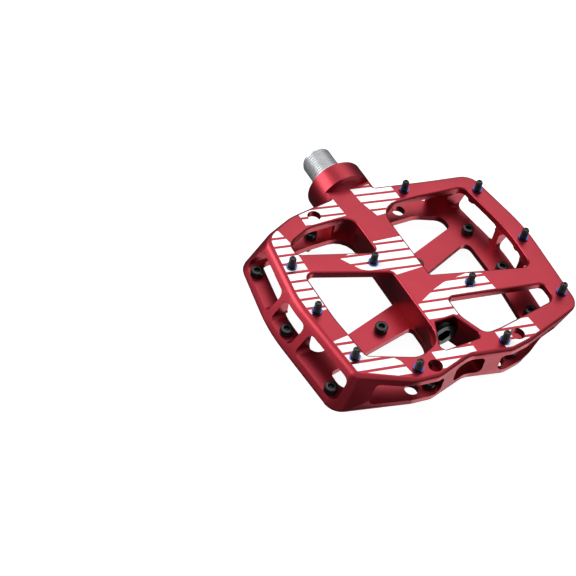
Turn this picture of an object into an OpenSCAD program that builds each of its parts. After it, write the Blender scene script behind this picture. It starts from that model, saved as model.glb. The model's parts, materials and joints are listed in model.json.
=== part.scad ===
// Flat pedal: a hollow C-section platform that turns on a cantilevered spindle.
// Origin: centre of the spindle shoulder that tightens against the crank arm.
// +X runs along the spindle away from the crank, +Y to the rear, +Z up.
// The platform looks the same after half a turn about the spindle.

/* [Platform] */
// Thickness of the platform over its two faces
body_t = 16; // [14:0.5:18]
// Thickness of each face plate
plate_t = 3.3; // [2.6:0.1:4]
// Radius of the rounded outer rims
rim_r = 1.5; // [0.8:0.1:1.6]
// Radius of the rounded rims of the plate openings
opening_r = 0.9; // [0.5:0.1:1]
// Half width of the spindle housing's top
housing_w = 6.4; // [6.4:0.1:6.8]
// Half width of the solid land beside the boss
boss_land_w = 14; // [13.6:0.1:15]
// Half width of the recess in the outboard end
end_recess_w = 7; // [5:0.1:8]
// Half width over the two lands beside that recess
end_land_w = 13.7; // [13.4:0.1:13.7]

/* [Boss] */
// Diameter of the bearing boss
boss_d = 27; // [26.6:0.1:28]
// Gap between the crank shoulder and the boss
boss_x0 = 3.3; // [3.1:0.1:3.6]
// Outboard end of the boss
boss_x1 = 13.5; // [13.4:0.1:14]

/* [Spindle] */
// Major diameter of the crank thread, 9/16 inch
thread_d = 14.29; // [14.2:0.01:14.3]
// Length of the crank thread
thread_l = 14; // [12:0.5:15]
// Diameter of the crank shoulder
shoulder_d = 18.8; // [17.5:0.1:20]
// Hex key size in the crank end
spindle_key = 8; // [6:1:8]

/* [Bearings] */
// Running gap between turning parts
run_gap = 0.04; // [0.02:0.01:0.08]
// Gap left between pressed parts
press_gap = 0.01; // [0:0.005:0.02]
// Balls in the inboard bearing
inboard_balls = 15; // [10:1:17]
// Balls in the outboard bearing
outboard_balls = 10; // [7:1:11]

/* [Pins] */
// Thread diameter of a pin
pin_d = 3; // [2.5:0.1:3.2]
// Height of a pin above the plate
pin_h = 5.6; // [4:0.1:7]
// Diameter of a pin's socket head
pin_head_d = 5.5; // [5:0.1:6]
// Height of a pin's socket head
pin_head_h = 3; // [2:0.1:3.6]
// Hex key size of a pin
pin_key = 2.5; // [2:0.5:3]
// Diameter of the washer around a pin
washer_d = 4.4; // [4:0.1:5]
// Thickness of that washer
washer_t = 1; // [0.4:0.1:1]
// Diameter of the holes that reach the far plate's pins
access_d = 6; // [5.8:0.1:6.2]

/* [Hidden] */
face_z = body_t / 2;
inner_z = face_z - plate_t;
// The plates' openings sit back from the walls under them by this much.
flush = 0.15;
wall_w = housing_w + opening_r - flush;
steps = 5;
rim_steps = 3;
beyond = 1;

// Corners of the upper face's outline, [x, y, radius], from the boss round the front edge.
front_corners = [
    [13.4, -11.2, 0.3], [18, -11.2, 1], [21.4, -33, 22], [28.5, -48.2, 9],
    [64, -52.4, 60], [106.4, -48.2, 3.5], [118.2, -26.5, 12], [119.5, -17, 7],
];
end_corner = [[115.3, 0, 10]];
// The same for its rear edge, back to the boss.
rear_corners = [
    [119.5, 18, 7], [118.4, 27, 16], [110.6, 58.8, 8], [64, 63.7, 90],
    [26.2, 58.6, 8.5], [22.3, 34, 30], [18, 11.2, 1], [13.4, 11.2, 0.3],
];
outline = concat(front_corners, end_corner, rear_corners);

// Openings in the upper plate. The lower plate has the same ones, turned half a turn.
front_inboard = [
    [43, -41, 3.5], [54.6, -6.4, 3.2], [29.5, -6.4, 7], [29.5, -29, 14], [35, -41, 6],
];
front_outboard = [
    [51.2, -43.4, 4], [78, -42.9, 60], [100.2, -40.3, 3], [109, -20, 9],
    [104.5, -6.4, 10.5], [64.8, -6.4, 3.5],
];
rear_inboard = [
    [29.2, 6.4, 10], [73, 6.4, 2], [85.8, 53, 5], [62, 55, 90], [31.3, 51, 4.5], [29.3, 25, 60],
];
rear_outboard = [
    [85, 6.4, 3], [96.5, 6.4, 12], [108.7, 11.5, 5], [108.4, 20, 30], [104.2, 51.3, 6],
    [93.5, 51.5, 3],
];
end_pocket = [
    [95, -4.8, 1], [106.8, -9.9, 2.5], [109.4, -8.5, 1.5],
    [109.4, 8.5, 1.5], [106.8, 9.9, 2.5], [95, 4.8, 1],
];
plate_openings = [front_inboard, front_outboard, rear_inboard, rear_outboard];

// Space between the plates on the front side, open at the inboard end.
cavity = [
    [5, -38, 1], [25.5, -38, 2], [31.2, -44, 3], [34.6, -52.6, 3], [102, -52.6, 3],
    [107.6, -45, 2], [112, -35.4, 2], [112, -end_land_w, 1.5], [109, -end_land_w, 1.5],
    [109, -12.5, 4.5], [96.5, -wall_w, 12], [28.6, -wall_w, 6], [28.6, -boss_land_w, 0.8],
    [5, -boss_land_w, 1],
];
// Windows in the front wall, [x start, x end] at the lower plate, and how far the end
// that is nearer the corner leans in at the upper plate.
windows = [[30.6, 57, 1.4, 0], [60.4, 76, 0, 0], [79.7, 107.8, 0, 2.2]];
window_y0 = 44;
window_y1 = 70;
window_r = 2.4;
window_z = inner_z - 0.08;
// Front window in the outboard end, from the corner to the land.
end_window_x0 = 108.5;
end_window_x1 = 125;
end_window_y = 46;
end_window_lean = 5;
recess_x0 = 112.4;
boss_root_x1 = 19.5;

// Pins in the upper plate, [x, y].
pins = [
    [47.9, -45.8], [73.0, -47.4], [99.0, -44.5], [113.3, -24.0], [114.4, 16.6], [101.7, 54.7],
    [69.3, 57.6], [36.6, 54.9], [25.0, 22.9], [58.1, -12.4], [82.8, 20.5],
];
// Pins whose heads are reached through a hole in the far plate.
reached = [3, 4, 8];
// Pins whose heads seat in the roof of a side opening, in a spot-faced pocket.
seated = [3, 4, 5, 6, 7];
seat_r = 3;
seat_low = 1.5;
seat_cut = 0.04;

// Inboard bearing, 15 x 24 x 5.
ib_x = 6.2;
ib_w = 5;
ib_bore_r = 7.5;
ib_outer_r = 12;
ib_pitch_r = 9.75;
ib_ball_r = 1.19;
ib_land = 0.8;
// Outboard bearing, 6 x 10 x 3.
ob_x = 83.5;
ob_w = 3;
ob_bore_r = 3;
ob_outer_r = 5;
ob_pitch_r = 4;
ob_ball_r = 0.6;
ob_land = 0.35;

seal_x0 = boss_x0 + 0.2;
seal_x1 = 5;
clip_x0 = 5.1;
clip_x1 = 6.1;
clip_r = 12.6;
collar_r = 8.5;
bush_x0 = 16;
bush_x1 = 30;
bush_outer_r = 5.5;
bush_journal_r = 4.8;
spacer_t = 0.8;
nut_x0 = ob_x + ob_w + spacer_t;
nut_key = 8;
nut_hex_l = 3;
nut_collar_l = 1.2;
nut_collar_r = 3.85;
insert_r = 3.5;
spindle_x1 = 92.2;
cap_x0 = 92.6;
cap_face_x = 95;
cap_x1 = 98;
cap_head_r = 6.4;
cap_seat_r = 6.6;
cap_seat_x1 = 98.4;
cap_thread_r = 5.4;
cap_key = 6;
oring_r = 0.39;
oring_mid_r = 4.99;
oring_x = 94.4;

// ---- outlines ----
function unit(v) = v / norm(v);
function turn_by(v, a) = [v[0] * cos(a) - v[1] * sin(a), v[0] * sin(a) + v[1] * cos(a)];
function xy(c) = [c[0], c[1]];

// Points of the arc at one corner, for an outline grown outward by grow.
function corner_arc(before, corner, after, grow) =
    let (
        d1 = unit(xy(corner) - xy(before)),
        d2 = unit(xy(after) - xy(corner)),
        turn = atan2(d1[0] * d2[1] - d1[1] * d2[0], d1 * d2),
        n1 = [d1[1], -d1[0]],
        n2 = [d2[1], -d2[0]],
        moved = xy(corner) + grow * (n1 + n2) / (1 + n1 * n2),
        r = max(corner[2] + (turn > 0 ? grow : -grow), 0.05),
        tangent = r * tan(abs(turn) / 2),
        centre = moved + unit(d2 - d1) * r / cos(turn / 2),
        start = moved - d1 * tangent - centre
    )
    [for (k = [0:steps]) centre + turn_by(start, turn * k / steps)];

// Closed outline with round corners, counter-clockwise from above.
function rounded(corners, grow = 0) =
    let (n = len(corners))
    [for (i = [0:n - 1]) each corner_arc(corners[(i + n - 1) % n], corners[i],
                                         corners[(i + 1) % n], grow)];

// The upper face's outline, and the lower one that is its half-turn image, point for point.
function upper_loop(grow = 0) = rounded(outline, grow);
function lower_loop(grow = 0) =
    let (p = upper_loop(grow), n = len(p))
    [for (i = [0:n - 1]) [p[n - 1 - i][0], -p[n - 1 - i][1]]];
// A level of the leaning side wall, a = 0 at the lower face and 1 at the upper one.
function wall_loop(a, grow = 0) =
    let (p = upper_loop(grow), q = lower_loop(grow))
    [for (i = [0:len(p) - 1]) q[i] * (1 - a) + p[i] * a];
function at_z(loop, z) = [for (p = loop) [p[0], p[1], z]];

// Solid through a stack of equally long loops. Its ends are fans about their middles.
function middle(loop) = [for (p = loop) 1] * loop / len(loop);
module loft(loops) {
    n = len(loops[0]);
    m = len(loops);
    sides = [for (j = [0:m - 2]) for (i = [0:n - 1])
        let (a = j * n + i, b = j * n + (i + 1) % n)
        each [[a, a + n, b + n], [a, b + n, b]]];
    ends = [for (i = [0:n - 1])
        let (j = (i + 1) % n, top = (m - 1) * n)
        each [[m * n, i, j], [m * n + 1, top + j, top + i]]];
    polyhedron(points = concat([for (l = loops) each l], [middle(loops[0]), middle(loops[m - 1])]),
               faces = concat(sides, ends));
}

// Turned part along X, from a profile of [radius, x] points.
module turned(profile, fn = 96) {
    rotate([0, 90, 0]) rotate_extrude($fn = fn) polygon(profile);
}
module rod(r, x0, x1, fn = 96) {
    translate([x0, 0, 0]) rotate([0, 90, 0]) cylinder(r = r, h = x1 - x0, $fn = fn);
}
module ring(r0, r1, x0, x1) {
    turned([[r0, x0], [r1, x0], [r1, x1], [r0, x1]]);
}
// Half-turn image of a part about the spindle.
module half_turn() {
    rotate([180, 0, 0]) children();
}
module both_faces() {
    children();
    half_turn() children();
}

// ---- platform ----
// Levels of a rounded rim, [inset, depth], from the wall up to the face.
function rim_levels(r) = [for (k = [0:rim_steps]) let (a = 90 * k / rim_steps)
    [r * (1 - cos(a)), r * (1 - sin(a))]];

module shell() {
    levels = rim_levels(rim_r);
    last = len(levels) - 1;
    loft(concat(
        [for (i = [last:-1:0]) at_z(wall_loop(levels[i][1] / body_t, -levels[i][0]),
                                    -face_z + levels[i][1])],
        [for (l = levels) at_z(wall_loop(1 - l[1] / body_t, -l[0]), face_z - l[1])]
    ));
}
module boss() {
    edge = 0.9;
    r = boss_d / 2;
    turned([[0, boss_x0], [r - edge, boss_x0], [r, boss_x0 + edge], [r, boss_x1], [0, boss_x1]]);
}
// Hollow cone where the boss's outboard face runs down to the plates.
module boss_cone() {
    r0 = boss_d / 2 - 0.6;
    r1 = 7.6;
    x1 = 16.3;
    turned(concat([[0, boss_x1 - 1], [r0, boss_x1 - 1]],
        [for (k = [0:steps]) let (a = 90 * k / steps)
            [r0 - (r0 - r1) * (k / steps), boss_x1 + (x1 - boss_x1) * (1 - cos(a))]],
        [[0, x1]]));
}
// The boss runs on between the plates until it meets the platform's inboard wall.
module boss_root() {
    half = face_z - 0.4;
    intersection() {
        rod(boss_d / 2 - 0.05, boss_x1 - 1, boss_root_x1);
        translate([boss_x1 - 2, -boss_d, -half]) cube([10, 2 * boss_d, 2 * half]);
    }
}
// Opening through the upper plate, with a rounded rim.
module plate_opening(corners) {
    levels = rim_levels(opening_r);
    last = levels[len(levels) - 1];
    loft(concat(
        [at_z(rounded(corners, -opening_r), inner_z - beyond)],
        [for (l = levels) at_z(rounded(corners, l[0] - opening_r), face_z - l[1])],
        [at_z(rounded(corners, last[0] - opening_r + beyond), face_z + beyond)]
    ));
}
module cavity_cut() {
    translate([0, 0, -inner_z]) linear_extrude(height = 2 * inner_z) polygon(rounded(cavity));
}
module window_cut(x0, x1, lean0, lean1) {
    rim = [[x0, -window_z, window_r], [x1, -window_z, window_r],
           [x1 - lean1, window_z, window_r], [x0 + lean0, window_z, window_r]];
    translate([0, -window_y0, 0]) rotate([90, 0, 0])
        linear_extrude(height = window_y1 - window_y0) polygon(rounded(rim));
}
// Opening through the outboard end, between two y values at the lower and the upper plate.
module end_cut(x0, x1, low, high) {
    rim = [[low[0], -window_z, window_r], [low[1], -window_z, window_r],
           [high[1], window_z, window_r], [high[0], window_z, window_r]];
    translate([x0, 0, 0]) rotate([90, 0, 90])
        linear_extrude(height = x1 - x0) polygon(rounded(rim));
}
module end_window() {
    end_cut(end_window_x0, end_window_x1, [-end_window_y, -end_land_w],
            [end_window_lean - end_window_y, -end_land_w]);
}
module end_recess() {
    end_cut(recess_x0, end_window_x1, [-end_recess_w, end_recess_w],
            [-end_recess_w, end_recess_w]);
}
module end_pocket_cut() {
    levels = rim_levels(opening_r);
    last = levels[len(levels) - 1];
    in = opening_r / 2;
    half = concat(
        [for (l = levels) at_z(rounded(end_pocket, l[0] - in), face_z - l[1])],
        [at_z(rounded(end_pocket, last[0] - in + beyond), face_z + beyond)]);
    n = len(half);
    loft(concat([for (i = [n - 1:-1:0]) [for (p = half[i]) [p[0], p[1], -p[2]]]], half));
    rod(cap_seat_r, cap_face_x, cap_seat_x1);
}
module pin_holes() {
    for (p = pins)
        translate([p[0], p[1], 0]) cylinder(d = pin_d + 0.1, h = face_z + beyond, $fn = 32);
    for (i = reached)
        translate([pins[i][0], -pins[i][1], inner_z - beyond])
            cylinder(d = access_d, h = plate_t + 2 * beyond, $fn = 48);
    for (i = seated)
        translate([pins[i][0], pins[i][1], seat_low])
            cylinder(r = seat_r, h = inner_z + seat_cut - seat_low, $fn = 48);
}
module bearing_bores() {
    turned([
        [0, boss_x0 - 1], [ib_outer_r + press_gap, boss_x0 - 1],
        [ib_outer_r + press_gap, clip_x0], [clip_r, clip_x0], [clip_r, clip_x1],
        [ib_outer_r + press_gap, clip_x1], [ib_outer_r + press_gap, ib_x + ib_w],
        [10.5, ib_x + ib_w], [10.5, 12.6], [6.5, 12.6], [6.5, 13.8],
        [bush_outer_r + press_gap, 13.8], [bush_outer_r + press_gap, 80], [4.4, 80], [4.4, ob_x],
        [ob_outer_r + press_gap, ob_x], [ob_outer_r + press_gap, 91.8],
        [cap_thread_r, 91.8], [cap_thread_r, cap_face_x + 1], [0, cap_face_x + 1],
    ]);
}
module platform() {
    color([0.76, 0.2, 0.27]) difference() {
        union() {
            shell();
            boss();
            boss_cone();
            boss_root();
        }
        both_faces() {
            for (o = plate_openings) plate_opening(o);
            cavity_cut();
            for (w = windows) window_cut(w[0], w[1], w[2], w[3]);
            end_window();
            pin_holes();
        }
        end_pocket_cut();
        end_recess();
        bearing_bores();
    }
}

// ---- spindle ----
module spindle() {
    r = thread_d / 2;
    lead = 0.8;
    key_depth = 8;
    color([0.78, 0.79, 0.8]) difference() {
        turned([
            [0, -thread_l], [r - lead, -thread_l], [r, -thread_l + lead], [r, 0],
            [shoulder_d / 2, 0], [shoulder_d / 2, 2.4], [collar_r, 2.4], [collar_r, ib_x],
            [ib_bore_r, ib_x], [ib_bore_r, ib_x + ib_w + 0.2], [6, 12.4], [5.1, 13.8],
            [bush_journal_r, bush_x0 - 0.4], [bush_journal_r, bush_x1 + 0.4], [3.75, 78],
            [3.75, ob_x], [ob_bore_r, ob_x], [ob_bore_r, spindle_x1 - 0.4],
            [ob_bore_r - 0.4, spindle_x1], [0, spindle_x1],
        ]);
        translate([-thread_l - 1, 0, 0]) rotate([0, 90, 0])
            cylinder(d = spindle_key / cos(30), h = key_depth + 1, $fn = 6);
    }
}

// ---- bearings ----
// Groove points of a race, on the wall at wall_r, towards the ball centre at pitch_r.
function groove(pitch_r, wall_r, mid_x, r) =
    let (half = acos(abs(wall_r - pitch_r) / r), out = wall_r > pitch_r ? 1 : -1)
    [for (k = [-steps:steps]) let (a = half * k / steps)
        [pitch_r + out * r * cos(a), mid_x + r * sin(a)]];

module outer_ring(pitch_r, outer_r, land, x, w, ball_r) {
    wall = pitch_r + land;
    turned(concat([[outer_r, x + w], [outer_r, x], [wall, x]],
                  groove(pitch_r, wall, x + w / 2, ball_r + run_gap), [[wall, x + w]]));
}
module inner_ring(pitch_r, bore_r, land, x, w, ball_r) {
    wall = pitch_r - land;
    turned(concat([[bore_r + press_gap, x + w], [bore_r + press_gap, x], [wall, x]],
                  groove(pitch_r, wall, x + w / 2, ball_r + run_gap), [[wall, x + w]]));
}
module ball_set(pitch_r, x, ball_r, count) {
    for (i = [0:count - 1])
        rotate([360 * i / count, 0, 0]) translate([x, 0, pitch_r]) sphere(r = ball_r, $fn = 32);
}
module cage(pitch_r, x, w, t, ball_r, count) {
    difference() {
        ring(pitch_r - t / 2, pitch_r + t / 2, x - w / 2, x + w / 2);
        for (i = [0:count - 1])
            rotate([360 * i / count, 0, 0]) translate([x, 0, pitch_r - 2 * t])
                cylinder(r = ball_r + run_gap, h = 4 * t, $fn = 32);
    }
}
module inboard_bearing_outer_ring() {
    color([0.72, 0.73, 0.75]) outer_ring(ib_pitch_r, ib_outer_r, ib_land, ib_x, ib_w, ib_ball_r);
}
module inboard_bearing_inner_ring() {
    color([0.72, 0.73, 0.75]) inner_ring(ib_pitch_r, ib_bore_r, ib_land, ib_x, ib_w, ib_ball_r);
}
module inboard_bearing_balls() {
    color([0.85, 0.86, 0.88]) ball_set(ib_pitch_r, ib_x + ib_w / 2, ib_ball_r, inboard_balls);
}
module inboard_bearing_cage() {
    color([0.75, 0.62, 0.35])
        cage(ib_pitch_r, ib_x + ib_w / 2, 3, 0.6, ib_ball_r, inboard_balls);
}
module inboard_bearing_shields() {
    t = 0.3;
    inset = 0.15;
    color([0.1, 0.1, 0.1]) for (x = [ib_x + inset, ib_x + ib_w - inset - t])
        ring(ib_pitch_r - ib_land + run_gap, ib_pitch_r + ib_land - press_gap, x, x + t);
}
module outboard_bearing_outer_ring() {
    color([0.72, 0.73, 0.75]) outer_ring(ob_pitch_r, ob_outer_r, ob_land, ob_x, ob_w, ob_ball_r);
}
module outboard_bearing_inner_ring() {
    color([0.72, 0.73, 0.75]) inner_ring(ob_pitch_r, ob_bore_r, ob_land, ob_x, ob_w, ob_ball_r);
}
module outboard_bearing_balls() {
    color([0.85, 0.86, 0.88]) ball_set(ob_pitch_r, ob_x + ob_w / 2, ob_ball_r, outboard_balls);
}
module outboard_bearing_cage() {
    color([0.75, 0.62, 0.35])
        cage(ob_pitch_r, ob_x + ob_w / 2, 1.7, 0.3, ob_ball_r, outboard_balls);
}
module spindle_bush() {
    color([0.55, 0.42, 0.3]) ring(bush_journal_r + run_gap, bush_outer_r, bush_x0, bush_x1);
}
module inboard_seal() {
    color([0.08, 0.08, 0.08]) turned([
        [collar_r + run_gap, seal_x0 + 0.5], [collar_r + 1.4, seal_x0], [ib_outer_r, seal_x0],
        [ib_outer_r, seal_x1], [collar_r + 1.4, seal_x1], [collar_r + run_gap, seal_x0 + 0.9],
    ]);
}
// Spring ring with a gap and two plier eyes.
module bearing_circlip() {
    t = clip_x1 - clip_x0 - 0.1;
    color([0.25, 0.25, 0.27]) difference() {
        ring(10.9, clip_r - 0.05, clip_x0 + 0.05, clip_x0 + 0.05 + t);
        translate([clip_x0 - 1, -1.6, 8]) cube([4, 3.2, 8]);
        for (s = [-1, 1]) rotate([s * 12, 0, 0]) translate([clip_x0 - 1, 0, 11.6])
            rotate([0, 90, 0]) cylinder(r = 0.35, h = 4, $fn = 24);
    }
}
module spacer_washer() {
    color([0.7, 0.7, 0.72])
        ring(ob_bore_r + press_gap, 4.3, ob_x + ob_w, ob_x + ob_w + spacer_t);
}
module lock_nut() {
    color([0.6, 0.6, 0.62]) difference() {
        union() {
            translate([nut_x0, 0, 0]) rotate([0, 90, 0])
                cylinder(d = nut_key / cos(30), h = nut_hex_l, $fn = 6);
            rod(nut_collar_r, nut_x0 + nut_hex_l, nut_x0 + nut_hex_l + nut_collar_l);
        }
        rod(ob_bore_r + press_gap, nut_x0 - 1, nut_x0 + nut_hex_l + 2);
        rod(insert_r, nut_x0 + nut_hex_l + 0.2, nut_x0 + nut_hex_l + nut_collar_l + 1);
    }
}
module lock_nut_insert() {
    color([0.25, 0.35, 0.75]) ring(ob_bore_r + press_gap, insert_r - press_gap,
        nut_x0 + nut_hex_l + 0.2, nut_x0 + nut_hex_l + nut_collar_l - 0.1);
}
module end_cap() {
    groove_w = 1;
    r = cap_thread_r - 0.02;
    lip = 0.5;
    socket_depth = 2.6;
    color([0.07, 0.07, 0.08]) difference() {
        turned([
            [0, cap_x0], [r, cap_x0], [r, oring_x - groove_w / 2],
            [oring_mid_r - oring_r, oring_x - groove_w / 2],
            [oring_mid_r - oring_r, oring_x + groove_w / 2], [r, oring_x + groove_w / 2],
            [r, cap_face_x], [cap_head_r, cap_face_x], [cap_head_r, cap_x1 - lip],
            [cap_head_r - lip, cap_x1], [0, cap_x1],
        ]);
        translate([cap_x1 - socket_depth, 0, 0]) rotate([0, 90, 0])
            cylinder(d = cap_key / cos(30), h = socket_depth + 1, $fn = 6);
    }
}
module end_cap_oring() {
    color([0.05, 0.05, 0.05]) translate([oring_x, 0, 0]) rotate([0, 90, 0])
        rotate_extrude($fn = 96) translate([oring_mid_r, 0]) circle(r = oring_r, $fn = 24);
}

// ---- pins ----
module pin() {
    r = pin_d / 2;
    tip = 0.35;
    head_low = inner_z - pin_head_h;
    key_depth = 1.6;
    difference() {
        rotate_extrude($fn = 40) polygon([
            [0, head_low], [pin_head_d / 2 - 0.3, head_low], [pin_head_d / 2, head_low + 0.3],
            [pin_head_d / 2, inner_z], [r, inner_z], [r, face_z + pin_h - tip],
            [r - tip, face_z + pin_h], [0, face_z + pin_h],
        ]);
        translate([0, 0, head_low - 1]) cylinder(d = pin_key / cos(30), h = key_depth + 1, $fn = 6);
        translate([0, 0, face_z + pin_h - 0.5]) cylinder(r = 0.55, h = 1, $fn = 24);
    }
}
module pin_set() {
    for (p = pins) translate([p[0], p[1], 0]) pin();
}
module washer_set() {
    for (p = pins) translate([p[0], p[1], face_z]) difference() {
        cylinder(d = washer_d, h = washer_t, $fn = 40);
        translate([0, 0, -1]) cylinder(d = pin_d + 0.1, h = washer_t + 2, $fn = 40);
    }
}
module pins_top() {
    color([0.12, 0.12, 0.13]) pin_set();
}
module pins_bottom() {
    color([0.12, 0.12, 0.13]) half_turn() pin_set();
}
module pin_washers_top() {
    color([0.2, 0.24, 0.5]) washer_set();
}
module pin_washers_bottom() {
    color([0.2, 0.24, 0.5]) half_turn() washer_set();
}

platform();
spindle();
inboard_seal();
bearing_circlip();
inboard_bearing_outer_ring();
inboard_bearing_inner_ring();
inboard_bearing_balls();
inboard_bearing_cage();
inboard_bearing_shields();
spindle_bush();
outboard_bearing_outer_ring();
outboard_bearing_inner_ring();
outboard_bearing_balls();
outboard_bearing_cage();
spacer_washer();
lock_nut();
lock_nut_insert();
end_cap();
end_cap_oring();
pins_top();
pins_bottom();
pin_washers_top();
pin_washers_bottom();
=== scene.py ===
"""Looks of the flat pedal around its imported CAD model: anodised metal, painted stripes,
cut threads and studio light."""
import json
import math

import bmesh
import bpy
from mathutils import Matrix, Quaternion, Vector


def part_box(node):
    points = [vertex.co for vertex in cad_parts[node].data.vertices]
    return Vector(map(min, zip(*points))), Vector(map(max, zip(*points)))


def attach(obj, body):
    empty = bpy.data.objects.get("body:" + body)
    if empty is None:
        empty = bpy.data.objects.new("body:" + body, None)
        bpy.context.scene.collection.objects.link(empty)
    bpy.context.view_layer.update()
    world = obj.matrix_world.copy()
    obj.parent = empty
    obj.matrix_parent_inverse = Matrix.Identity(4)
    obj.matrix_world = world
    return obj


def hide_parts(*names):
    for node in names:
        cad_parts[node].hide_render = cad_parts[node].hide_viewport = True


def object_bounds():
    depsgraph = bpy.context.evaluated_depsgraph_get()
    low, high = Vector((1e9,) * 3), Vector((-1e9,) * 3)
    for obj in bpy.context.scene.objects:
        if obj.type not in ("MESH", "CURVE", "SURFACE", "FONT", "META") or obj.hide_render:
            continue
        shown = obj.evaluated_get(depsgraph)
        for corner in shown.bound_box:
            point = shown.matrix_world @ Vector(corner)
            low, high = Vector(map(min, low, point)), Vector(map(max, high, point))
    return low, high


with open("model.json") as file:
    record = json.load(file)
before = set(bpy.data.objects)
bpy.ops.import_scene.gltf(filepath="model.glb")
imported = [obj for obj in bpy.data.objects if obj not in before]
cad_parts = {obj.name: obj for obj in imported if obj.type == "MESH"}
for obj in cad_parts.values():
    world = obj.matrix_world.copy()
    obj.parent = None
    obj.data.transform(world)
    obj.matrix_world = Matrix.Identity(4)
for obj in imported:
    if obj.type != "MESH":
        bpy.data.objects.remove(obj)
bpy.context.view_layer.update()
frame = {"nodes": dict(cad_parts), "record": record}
nodes = frame["nodes"]
MM = 0.001

# ---- sizes, in millimetres ----
FACE_Z = 8
THREAD_R = 7.145
THREAD_DEPTH = 0.78
THREAD_PITCH = 25.4 / 20
SPINDLE_KEY = 8.0
SPINDLE_KEY_DEPTH = 8.0
SPINDLE_COLUMNS = 72
# The spindle outboard of its shoulder, [x, radius], up to the round end of its tip.
SPINDLE_STEPS = [
    (2.4, 8.5), (6.2, 8.5), (6.2, 7.5), (11.4, 7.5), (12.4, 6.0), (13.8, 5.1), (15.6, 4.8),
    (30.4, 4.8), (78.0, 3.75), (83.5, 3.75), (83.5, 3.0),
]
PIN_R = 1.5
PIN_THREAD_DEPTH = 0.3
PIN_PITCH = 0.5
PIN_HEAD_R = 2.75
PIN_HEAD_H = 3.0
PIN_KEY = 2.5
PIN_KEY_DEPTH = 1.6
KNURL_TEETH = 24
HEAD_COLUMNS = 48
SHAFT_COLUMNS = 24
LEFT_HANDED = -1
RIGHT_HANDED = 1
WASHER_EDGE = 0.3
RIM_ANGLE = math.radians(35)

# ---- white bands, in millimetres ----
# Thin bare lines every STRIPE_STEP, leaning a little, inside zones of the upper face. A
# zone is an outline and the first band and the one after the last. It keeps only what lies
# inside the line through every one of its sides, so an outline's inward corner cuts it back.
STRIPE_START = 0.3
STRIPE_STEP = 5.0
STRIPE_GAP = 1.4
STRIPE_LEAN = 0.2
PAINT = 0.025
STRIPE_ZONES = [
    ([(16, 0), (25, 0.8), (34.5, 3.5), (34.5, 19), (16, 18.4)], (2, 7)),
    ([(16, -10.5), (29.6, -9.5), (29.6, -29), (16, -29)], (3, 8)),
    ([(22, -40), (36, -40), (53, -36.6), (73.3, -36.6), (73.3, -53), (22, -53)], (4, 18)),
    ([(48.7, 6.5), (47.4, -6.2), (51, -24.5), (59.5, -19), (67.5, -6.4), (67.5, 6.5)],
     (8, 15)),
    ([(80, 28.5), (77.5, 22), (78.4, 10), (80.3, 4), (85, -6.4), (95.4, -6.4), (95.4, 29.8)],
     (13, 19)),
    ([(105, 15.5), (120, 15.5), (120, 34), (105, 33)], (18, 25)),
    ([(107.8, 3), (107.8, -14.5), (118, -14.5), (118, 3)], (19, 25)),
    ([(107.5, -28.3), (88.3, -41.5), (89, -50.3), (96, -49.3), (106, -47), (113.5, -35),
      (114.8, -27)], (17, 26)),
]

# ---- studio, in metres ----
# The floor curves up into a pale dome, [height, radius].
STUDIO_SHELL = [(0.0, 0.0), (0.0, 3.0), (0.0, 6.0), (0.4, 8.0), (1.6, 9.5), (4.0, 10.0),
                (8.0, 8.0), (10.0, 4.0), (10.5, 0.0)]
STUDIO_COLUMNS = 48
FLOOR_GAP = 0.0002
# How bright the surroundings are, by the sine of the height above the horizon.
SKY = [(0.0, 0.05), (0.3, 0.25), (0.6, 0.8), (0.95, 1.05)]
LIGHT_TARGET = (0.06, 0, 0)
# Name, place, diameter and power of each light.
LIGHTS = [
    ("key", (-0.4, 0.4, 0.85), 0.8, 3.0),
    ("outboard_fill", (0.9, -0.35, 0.35), 0.6, 0.6),
    ("inboard_fill", (-0.55, -0.7, 0.45), 0.6, 7.5),
    ("low_card", (0.6, 0.45, -0.6), 0.7, 3.0),
]
CAMERA_PLACE = (0.3112, -0.2318, 0.3544)
CAMERA_TARGET = (0.05173, -0.04832, 0.0)
CAMERA_ROLL = math.radians(10.62)
CAMERA_LENS = 71.88


# ---- node helpers ----
def new_material(name):
    """A node material, with its shader and its object coordinates."""
    material = bpy.data.materials.new(name)
    material.use_nodes = True
    tree = material.node_tree
    shader = tree.nodes["Principled BSDF"]
    coords = tree.nodes.new("ShaderNodeTexCoord")
    return material, tree, shader, coords.outputs["Object"]


def add_noise(tree, vector, scale, detail=2.0):
    noise = tree.nodes.new("ShaderNodeTexNoise")
    noise.inputs["Scale"].default_value = scale
    noise.inputs["Detail"].default_value = detail
    tree.links.new(vector, noise.inputs["Vector"])
    return noise.outputs["Fac"]


def map_range(tree, value, low, high):
    """A noise value, spread from low to high."""
    spread = tree.nodes.new("ShaderNodeMapRange")
    spread.inputs["From Min"].default_value = 0.3
    spread.inputs["From Max"].default_value = 0.7
    spread.inputs["To Min"].default_value = low
    spread.inputs["To Max"].default_value = high
    tree.links.new(value, spread.inputs["Value"])
    return spread.outputs["Result"]


def mix_colours(tree, factor, first, second):
    mix = tree.nodes.new("ShaderNodeMix")
    mix.data_type = "RGBA"
    mix.inputs["A"].default_value = (*first, 1)
    mix.inputs["B"].default_value = (*second, 1)
    tree.links.new(factor, mix.inputs["Factor"])
    return mix.outputs["Result"]


def add_bump(tree, shader, height, strength, distance):
    bump = tree.nodes.new("ShaderNodeBump")
    bump.inputs["Strength"].default_value = strength
    bump.inputs["Distance"].default_value = distance
    tree.links.new(height, bump.inputs["Height"])
    tree.links.new(bump.outputs["Normal"], shader.inputs["Normal"])


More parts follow.
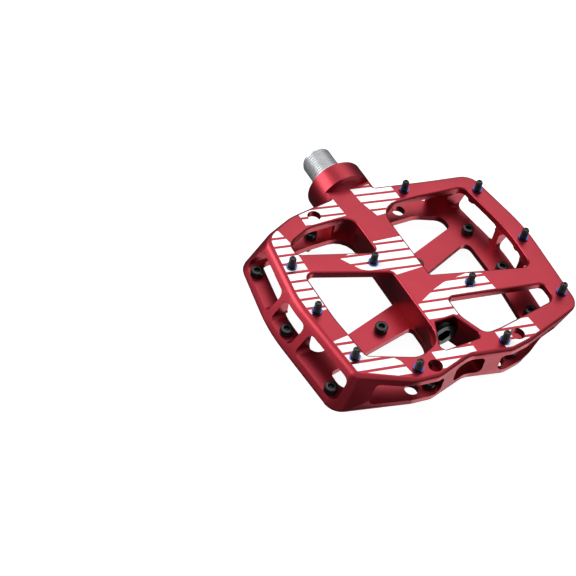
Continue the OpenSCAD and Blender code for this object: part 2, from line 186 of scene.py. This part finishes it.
# ---- materials ----
def finish_material(name, first, second, rough, grain, metallic=1.0, bump=0.1, coat=0.0):
    """Two close colours in soft patches, a roughness range and a fine grain."""
    material, tree, shader, vector = new_material(name)
    patches = add_noise(tree, vector, 60.0)
    fine = add_noise(tree, vector, grain, 3.0)
    colour = mix_colours(tree, map_range(tree, patches, 0.0, 1.0), first, second)
    tree.links.new(colour, shader.inputs["Base Color"])
    tree.links.new(map_range(tree, fine, *rough), shader.inputs["Roughness"])
    add_bump(tree, shader, fine, bump, 0.00003)
    shader.inputs["Metallic"].default_value = metallic
    shader.inputs["Coat Weight"].default_value = coat
    shader.inputs["Coat Roughness"].default_value = 0.35
    return material


def brushed_material(name, first, second, rough, metallic=1.0):
    """Turned metal: fine rings about the X axis."""
    material, tree, shader, vector = new_material(name)
    stretch = tree.nodes.new("ShaderNodeMapping")
    stretch.inputs["Scale"].default_value = (1.0, 0.02, 0.02)
    tree.links.new(vector, stretch.inputs["Vector"])
    rings = add_noise(tree, stretch.outputs["Vector"], 9000.0)
    colour = mix_colours(tree, map_range(tree, rings, 0.0, 1.0), first, second)
    tree.links.new(colour, shader.inputs["Base Color"])
    tree.links.new(map_range(tree, rings, *rough), shader.inputs["Roughness"])
    add_bump(tree, shader, rings, 0.08, 0.00002)
    shader.inputs["Metallic"].default_value = metallic
    return material


MATERIALS = {
    "red_anodised": finish_material("red_anodised", (0.31, 0.013, 0.027), (0.275, 0.01, 0.023),
                                    (0.38, 0.5), 5000.0, bump=0.12, coat=0.4),
    "steel_axle": brushed_material("steel_axle", (0.64, 0.65, 0.66), (0.54, 0.55, 0.56),
                                   (0.34, 0.46), metallic=0.6),
    "bearing_steel": brushed_material("bearing_steel", (0.6, 0.61, 0.63), (0.5, 0.51, 0.53),
                                      (0.14, 0.24)),
    "ball_steel": finish_material("ball_steel", (0.78, 0.79, 0.81), (0.72, 0.73, 0.75),
                                  (0.04, 0.08), 3000.0, bump=0.02),
    "spring_steel": finish_material("spring_steel", (0.16, 0.16, 0.18), (0.1, 0.1, 0.11),
                                    (0.3, 0.42), 4000.0),
    "brass": finish_material("brass", (0.72, 0.52, 0.22), (0.62, 0.44, 0.2),
                             (0.25, 0.36), 4000.0),
    "bronze": finish_material("bronze", (0.45, 0.3, 0.18), (0.36, 0.25, 0.16),
                              (0.4, 0.55), 6000.0),
    "black_rubber": finish_material("black_rubber", (0.018, 0.018, 0.018), (0.03, 0.03, 0.03),
                                    (0.6, 0.75), 5000.0, metallic=0.0),
    "blue_nylon": finish_material("blue_nylon", (0.05, 0.1, 0.45), (0.04, 0.08, 0.38),
                                  (0.4, 0.5), 5000.0, metallic=0.0),
    "black_anodised": finish_material("black_anodised", (0.004, 0.004, 0.005),
                                      (0.007, 0.007, 0.008), (0.16, 0.24), 5000.0),
    "black_steel": finish_material("black_steel", (0.008, 0.008, 0.009), (0.02, 0.02, 0.022),
                                   (0.2, 0.3), 6000.0, metallic=0.8, coat=0.3),
    "blue_anodised": finish_material("blue_anodised", (0.02, 0.035, 0.19), (0.025, 0.03, 0.15),
                                     (0.1, 0.18), 4000.0, coat=0.6),
    "white_paint": finish_material("white_paint", (0.97, 0.97, 0.97), (0.94, 0.94, 0.94),
                                   (0.4, 0.5), 5000.0, metallic=0.0, bump=0.05),
}


def dress_cad_nodes():
    slots = {part["node"]: part["material_slot"] for part in frame["record"]["subparts"]}
    for name, node in nodes.items():
        node.data.materials.clear()
        node.data.materials.append(MATERIALS[slots[name]])


def break_edges(node, width):
    """Bevels a CAD node's sharp edges, so that they catch light."""
    edge = node.modifiers.new("broken_edges", "BEVEL")
    edge.width = width * MM
    edge.segments = 3
    edge.limit_method = "ANGLE"
    edge.angle_limit = math.radians(60)


def smooth_rims(node, angle):
    """Shades the facets of a CAD node's rounded rims as the curves that they stand for."""
    node.data.shade_smooth()
    custom = node.data.attributes.get("custom_normal")
    if custom:
        node.data.attributes.remove(custom)
    weld = node.modifiers.new("join_faces", "WELD")
    weld.merge_threshold = 0.002 * MM
    split = node.modifiers.new("sharp_edges", "EDGE_SPLIT")
    split.split_angle = angle
    split.use_edge_sharp = False
    weighted = node.modifiers.new("flat_faces", "WEIGHTED_NORMAL")
    weighted.keep_sharp = True
    weighted.weight = 80


# ---- meshes ----
def add_object(name, mesh, material, body, *replaced):
    """A finished piece that rides on a body and stands for CAD nodes."""
    obj = bpy.data.objects.new(name, mesh)
    bpy.context.scene.collection.objects.link(obj)
    mesh.materials.append(MATERIALS[material])
    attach(obj, body)
    if replaced:
        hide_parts(*replaced)
    return obj


def hexagon_r(across_flats, angle):
    """Distance from the axis to a hexagon's side in one direction."""
    sixth = math.pi / 3
    return across_flats / 2 / math.cos((angle + sixth / 2) % sixth - sixth / 2)


def turned_rows(bm, rows, columns, place):
    """Closed rings of vertices, joined into a skin. A row is (height, radius or function)."""
    rings = []
    for height, radius in rows:
        ring = []
        for i in range(columns):
            angle = 2 * math.pi * i / columns
            r = radius(angle) if callable(radius) else radius
            ring.append(bm.verts.new(place(height, r, angle)))
        rings.append(ring)
    for low, high in zip(rings, rings[1:]):
        for i in range(columns):
            j = (i + 1) % columns
            bm.faces.new((low[i], low[j], high[j], high[i]))


def thread_rows(bm, start, end, crest, depth, pitch, hand, columns, place, lead):
    """The skin of a 60 degree screw thread, cut off square at both ends."""
    # Where the crest starts and ends and the root starts and ends, as parts of the pitch.
    steps = (0.0, 0.125, 0.4375, 0.6875)
    turns = math.ceil((end - start) / pitch)
    grid = []
    for i in range(columns):
        angle = 2 * math.pi * i / columns
        column = []
        for j in range(-8, 4 * turns + 9):
            along = pitch * (j // 4 + steps[j % 4] + hand * i / columns)
            height = min(max(start + along, start), end)
            r = crest if j % 4 < 2 else crest - depth
            to_end = min(height - start, end - height)
            r = max(min(r, crest - lead + to_end), crest - depth)
            if height in (start, end):
                r = crest - depth
            column.append(bm.verts.new(place(height, r, angle)))
        grid.append(column)
    for i in range(columns):
        shift = 4 * hand if i == columns - 1 else 0
        beside = grid[(i + 1) % columns]
        for j in range(len(grid[i]) - 1):
            k = j + shift
            if 0 <= k < len(beside) - 1:
                bm.faces.new((grid[i][j], beside[k], beside[k + 1], grid[i][j + 1]))


def finished_mesh(name, bm, sharp_angle):
    """Joins the skins, drops what has no area and shades by angle."""
    bmesh.ops.remove_doubles(bm, verts=bm.verts, dist=0.0005 * MM)
    bmesh.ops.dissolve_degenerate(bm, edges=bm.edges, dist=0.0005 * MM)
    bmesh.ops.recalc_face_normals(bm, faces=bm.faces)
    mesh = bpy.data.meshes.new(name)
    bm.to_mesh(mesh)
    bm.free()
    mesh.shade_smooth()
    mesh.set_sharp_from_angle(angle=sharp_angle)
    return mesh


def along_x(height, r, angle):
    return Vector((height, r * math.sin(angle), r * math.cos(angle))) * MM


def build_spindle():
    """The spindle with its cut crank thread, its key socket and its stepped journals."""
    low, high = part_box("spindle")
    start = low.x / MM
    end = high.x / MM
    shoulder = high.z / MM
    root = THREAD_R - THREAD_DEPTH
    floor = start + SPINDLE_KEY_DEPTH

    def socket(angle):
        return hexagon_r(SPINDLE_KEY, angle)

    def mouth(angle):
        return hexagon_r(SPINDLE_KEY + 0.7, angle)

    bm = bmesh.new()
    thread_rows(bm, start, 0.0, THREAD_R, THREAD_DEPTH, THREAD_PITCH, LEFT_HANDED,
                SPINDLE_COLUMNS, along_x, 1.0)
    turned_rows(bm, [(floor + 1.6, 0.0), (floor, 2.9), (floor, socket), (start + 0.35, socket),
                     (start, mouth), (start, root)], SPINDLE_COLUMNS, along_x)
    turned_rows(bm, [
        (0.0, root), (0.0, shoulder - 0.4), (0.12, shoulder - 0.12), (0.4, shoulder),
        (2.0, shoulder), (2.28, shoulder - 0.12), (2.4, shoulder - 0.4), *SPINDLE_STEPS,
        (end - 0.4, 3.0), (end, 2.6), (end, 0.0),
    ], SPINDLE_COLUMNS, along_x)
    mesh = finished_mesh("spindle_threaded", bm, math.radians(28))
    return add_object("spindle_threaded", mesh, "steel_axle", "spindle", "spindle")


def islands(node):
    """The separate solids of a CAD node, each as (lowest corner, highest corner)."""
    bm = bmesh.new()
    bm.from_mesh(nodes[node].data)
    bmesh.ops.remove_doubles(bm, verts=bm.verts, dist=0.001 * MM)
    bm.verts.ensure_lookup_table()
    seen = set()
    found = []
    for first in bm.verts:
        if first.index in seen:
            continue
        seen.add(first.index)
        queue = [first]
        group = []
        while queue:
            vert = queue.pop()
            group.append(vert.co.copy())
            for edge in vert.link_edges:
                other = edge.other_vert(vert)
                if other.index not in seen:
                    seen.add(other.index)
                    queue.append(other)
        corners = [[pick(co[axis] for co in group) for axis in range(3)] for pick in (min, max)]
        found.append((Vector(corners[0]), Vector(corners[1])))
    bm.free()
    return found


def build_pins(name, node, up):
    """Socket head screws with a knurled head, a cut thread and a flat tip."""
    bm = bmesh.new()
    for low, high in islands(node):
        middle = (low + high) / 2
        head = (low.z if up > 0 else high.z) / MM
        length = (high.z - low.z) / MM

        def place(height, r, angle):
            side = up * r * math.sin(angle)
            return Vector((middle.x / MM + r * math.cos(angle), middle.y / MM + side,
                           head + up * height)) * MM

        def socket(angle):
            return hexagon_r(PIN_KEY, angle)

        def mouth(angle):
            return hexagon_r(PIN_KEY + 0.3, angle)

        def knurl(angle):
            return PIN_HEAD_R - 0.05 + 0.05 * math.cos(KNURL_TEETH * angle)

        neck = PIN_HEAD_H
        tip = length - 0.35
        root = PIN_R - PIN_THREAD_DEPTH
        turned_rows(bm, [
            (PIN_KEY_DEPTH + 0.4, 0.0), (PIN_KEY_DEPTH, 1.0), (PIN_KEY_DEPTH, socket),
            (0.12, socket), (0.0, mouth),
            (0.0, PIN_HEAD_R - 0.45), (0.12, PIN_HEAD_R - 0.18), (0.4, knurl),
            (neck - 0.15, knurl), (neck, PIN_HEAD_R - 0.2), (neck, root),
        ], HEAD_COLUMNS, place)
        thread_rows(bm, neck, tip, PIN_R, PIN_THREAD_DEPTH, PIN_PITCH, RIGHT_HANDED,
                    SHAFT_COLUMNS, place, 0.25)
        turned_rows(bm, [(tip, root), (tip + 0.3, root - 0.05), (tip + 0.35, root - 0.15),
                         (tip + 0.35, 0.62), (tip - 0.05, 0.5), (tip - 0.15, 0.0)],
                    SHAFT_COLUMNS, place)
    mesh = finished_mesh(name, bm, math.radians(30))
    return add_object(name, mesh, "black_steel", "platform", node)


def turn_over(bm, side):
    """Turns a mesh over where it is for the lower face."""
    if side < 0:
        bmesh.ops.rotate(bm, verts=bm.verts, cent=(0, 0, 0),
                         matrix=Matrix.Rotation(math.pi, 3, "X"))


def build_stripes(name, side):
    """White paint on one face of the platform, cut from the face itself."""
    source = bmesh.new()
    source.from_mesh(nodes["platform"].data)
    turn_over(source, side)
    source.normal_update()
    drop = [f for f in source.faces
            if f.normal.z < 0.999 or abs(f.calc_center_median().z - FACE_Z * MM) > 0.01 * MM]
    bmesh.ops.delete(source, geom=drop, context="FACES")
    bmesh.ops.remove_doubles(source, verts=source.verts, dist=0.001 * MM)
    bmesh.ops.dissolve_limit(source, angle_limit=0.01, verts=source.verts, edges=source.edges)
    painted = bmesh.new()
    slant = Vector((1, -STRIPE_LEAN, 0))
    for zone, (first, last) in STRIPE_ZONES:
        for k in range(first, last):
            band = source.copy()
            for corner, outward in edges_outward(zone):
                trim(band, corner, outward)
            start = STRIPE_START + STRIPE_STEP * k + STRIPE_GAP / 2
            end = STRIPE_START + STRIPE_STEP * (k + 1) - STRIPE_GAP / 2
            trim(band, Vector((start, 0, 0)) * MM, -slant)
            trim(band, Vector((end, 0, 0)) * MM, slant)
            if band.faces:
                add_band(painted, band)
            band.free()
    source.free()
    turn_over(painted, side)
    mesh = bpy.data.meshes.new(name)
    painted.to_mesh(mesh)
    painted.free()
    return add_object(name, mesh, "white_paint", "platform")


def edges_outward(zone):
    """Each side of an outline, as (corner, direction out of the outline)."""
    sides = list(zip(zone, zone[1:] + zone[:1]))
    area = sum(a[0] * b[1] - b[0] * a[1] for a, b in sides)
    turn = 1 if area > 0 else -1
    return [(Vector((*a, 0)) * MM, turn * Vector((b[1] - a[1], a[0] - b[0], 0)))
            for a, b in sides]


def trim(bm, point, outward):
    """Cuts off what lies beyond a plane."""
    if bm.faces:
        geom = list(bm.verts) + list(bm.edges) + list(bm.faces)
        bmesh.ops.bisect_plane(bm, geom=geom, dist=1e-7, plane_co=point, plane_no=outward,
                               clear_outer=True)


def add_band(painted, band):
    """Adds one band as a thin slab that sits in the face."""
    lifted = {}
    for vert in band.verts:
        lifted[vert] = painted.verts.new(vert.co + Vector((0, 0, PAINT * MM)))
    sunk = {}
    for vert in band.verts:
        sunk[vert] = painted.verts.new(vert.co - Vector((0, 0, PAINT * MM)))
    for face in band.faces:
        painted.faces.new([lifted[v] for v in face.verts])
        painted.faces.new([sunk[v] for v in reversed(face.verts)])
    for edge in band.edges:
        if len(edge.link_loops) == 1:
            a = edge.link_loops[0].vert
            b = edge.link_loops[0].link_loop_next.vert
            painted.faces.new((lifted[b], lifted[a], sunk[a], sunk[b]))


# ---- studio ----
def add_light(name, place, size, power):
    data = bpy.data.lights.new(name, "AREA")
    data.shape = "DISK"
    data.size = size
    data.energy = power
    light = bpy.data.objects.new(name, data)
    light.location = place
    ahead = Vector(LIGHT_TARGET) - Vector(place)
    light.rotation_euler = ahead.to_track_quat("-Z", "Y").to_euler()
    bpy.context.scene.collection.objects.link(light)


def build_floor():
    """A pale floor and dome that only the camera sees."""
    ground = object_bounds()[0].z - FLOOR_GAP
    bm = bmesh.new()
    turned_rows(bm, STUDIO_SHELL, STUDIO_COLUMNS, lambda height, r, angle: Vector(
        (r * math.cos(angle), r * math.sin(angle), ground + height)))
    mesh = finished_mesh("floor", bm, math.pi)
    floor = bpy.data.objects.new("floor", mesh)
    bpy.context.scene.collection.objects.link(floor)
    material, _, shader, _ = new_material("pale_floor")
    shader.inputs["Roughness"].default_value = 0.9
    shader.inputs["Base Color"].default_value = (0.3, 0.3, 0.3, 1)
    shader.inputs["Specular IOR Level"].default_value = 0.0
    shader.inputs["Emission Color"].default_value = (1, 1, 1, 1)
    shader.inputs["Emission Strength"].default_value = 0.9
    mesh.materials.append(material)
    material.cycles.emission_sampling = "NONE"
    floor.visible_diffuse = False
    floor.visible_glossy = False
    floor.visible_shadow = False


def build_world():
    """Surroundings that are bright overhead and dim at the horizon."""
    world = bpy.data.worlds.new("studio")
    bpy.context.scene.world = world
    world.use_nodes = True
    tree = world.node_tree
    coords = tree.nodes.new("ShaderNodeTexCoord")
    split = tree.nodes.new("ShaderNodeSeparateXYZ")
    ramp = tree.nodes.new("ShaderNodeValToRGB")
    tree.links.new(coords.outputs["Generated"], split.inputs["Vector"])
    tree.links.new(split.outputs["Z"], ramp.inputs["Fac"])
    tree.links.new(ramp.outputs["Color"], tree.nodes["Background"].inputs["Color"])
    stops = ramp.color_ramp.elements
    for place, _ in SKY[1:-1]:
        stops.new(place)
    for stop, (place, grey) in zip(stops, SKY):
        stop.position = place
        stop.color = (grey, grey, grey, 1)
    tree.nodes["Background"].inputs["Strength"].default_value = 1.0


def build_studio():
    build_floor()
    build_world()
    for name, place, size, power in LIGHTS:
        add_light(name, place, size, power)
    settings = bpy.context.scene.view_settings
    settings.view_transform = "Standard"
    settings.look = "None"


def build_camera():
    """A camera that looks down on the outboard front corner, rolled a little."""
    data = bpy.data.cameras.new("camera")
    data.sensor_width = 36.0
    data.lens = CAMERA_LENS
    data.clip_start = 0.01
    camera = bpy.data.objects.new("camera", data)
    camera.location = Vector(CAMERA_PLACE)
    ahead = Vector(CAMERA_TARGET) - camera.location
    level = ahead.to_track_quat("-Z", "Y")
    camera.rotation_euler = (level @ Quaternion((0, 0, 1), CAMERA_ROLL)).to_euler()
    bpy.context.scene.collection.objects.link(camera)
    bpy.context.scene.camera = camera


dress_cad_nodes()
smooth_rims(nodes["platform"], RIM_ANGLE)
for washers in ("pin_washers_top", "pin_washers_bottom"):
    break_edges(nodes[washers], WASHER_EDGE)
build_spindle()
build_pins("pins_top_threaded", "pins_top", 1)
build_pins("pins_bottom_threaded", "pins_bottom", -1)
build_stripes("stripes_top", 1)
build_stripes("stripes_bottom", -1)
build_studio()
build_camera()
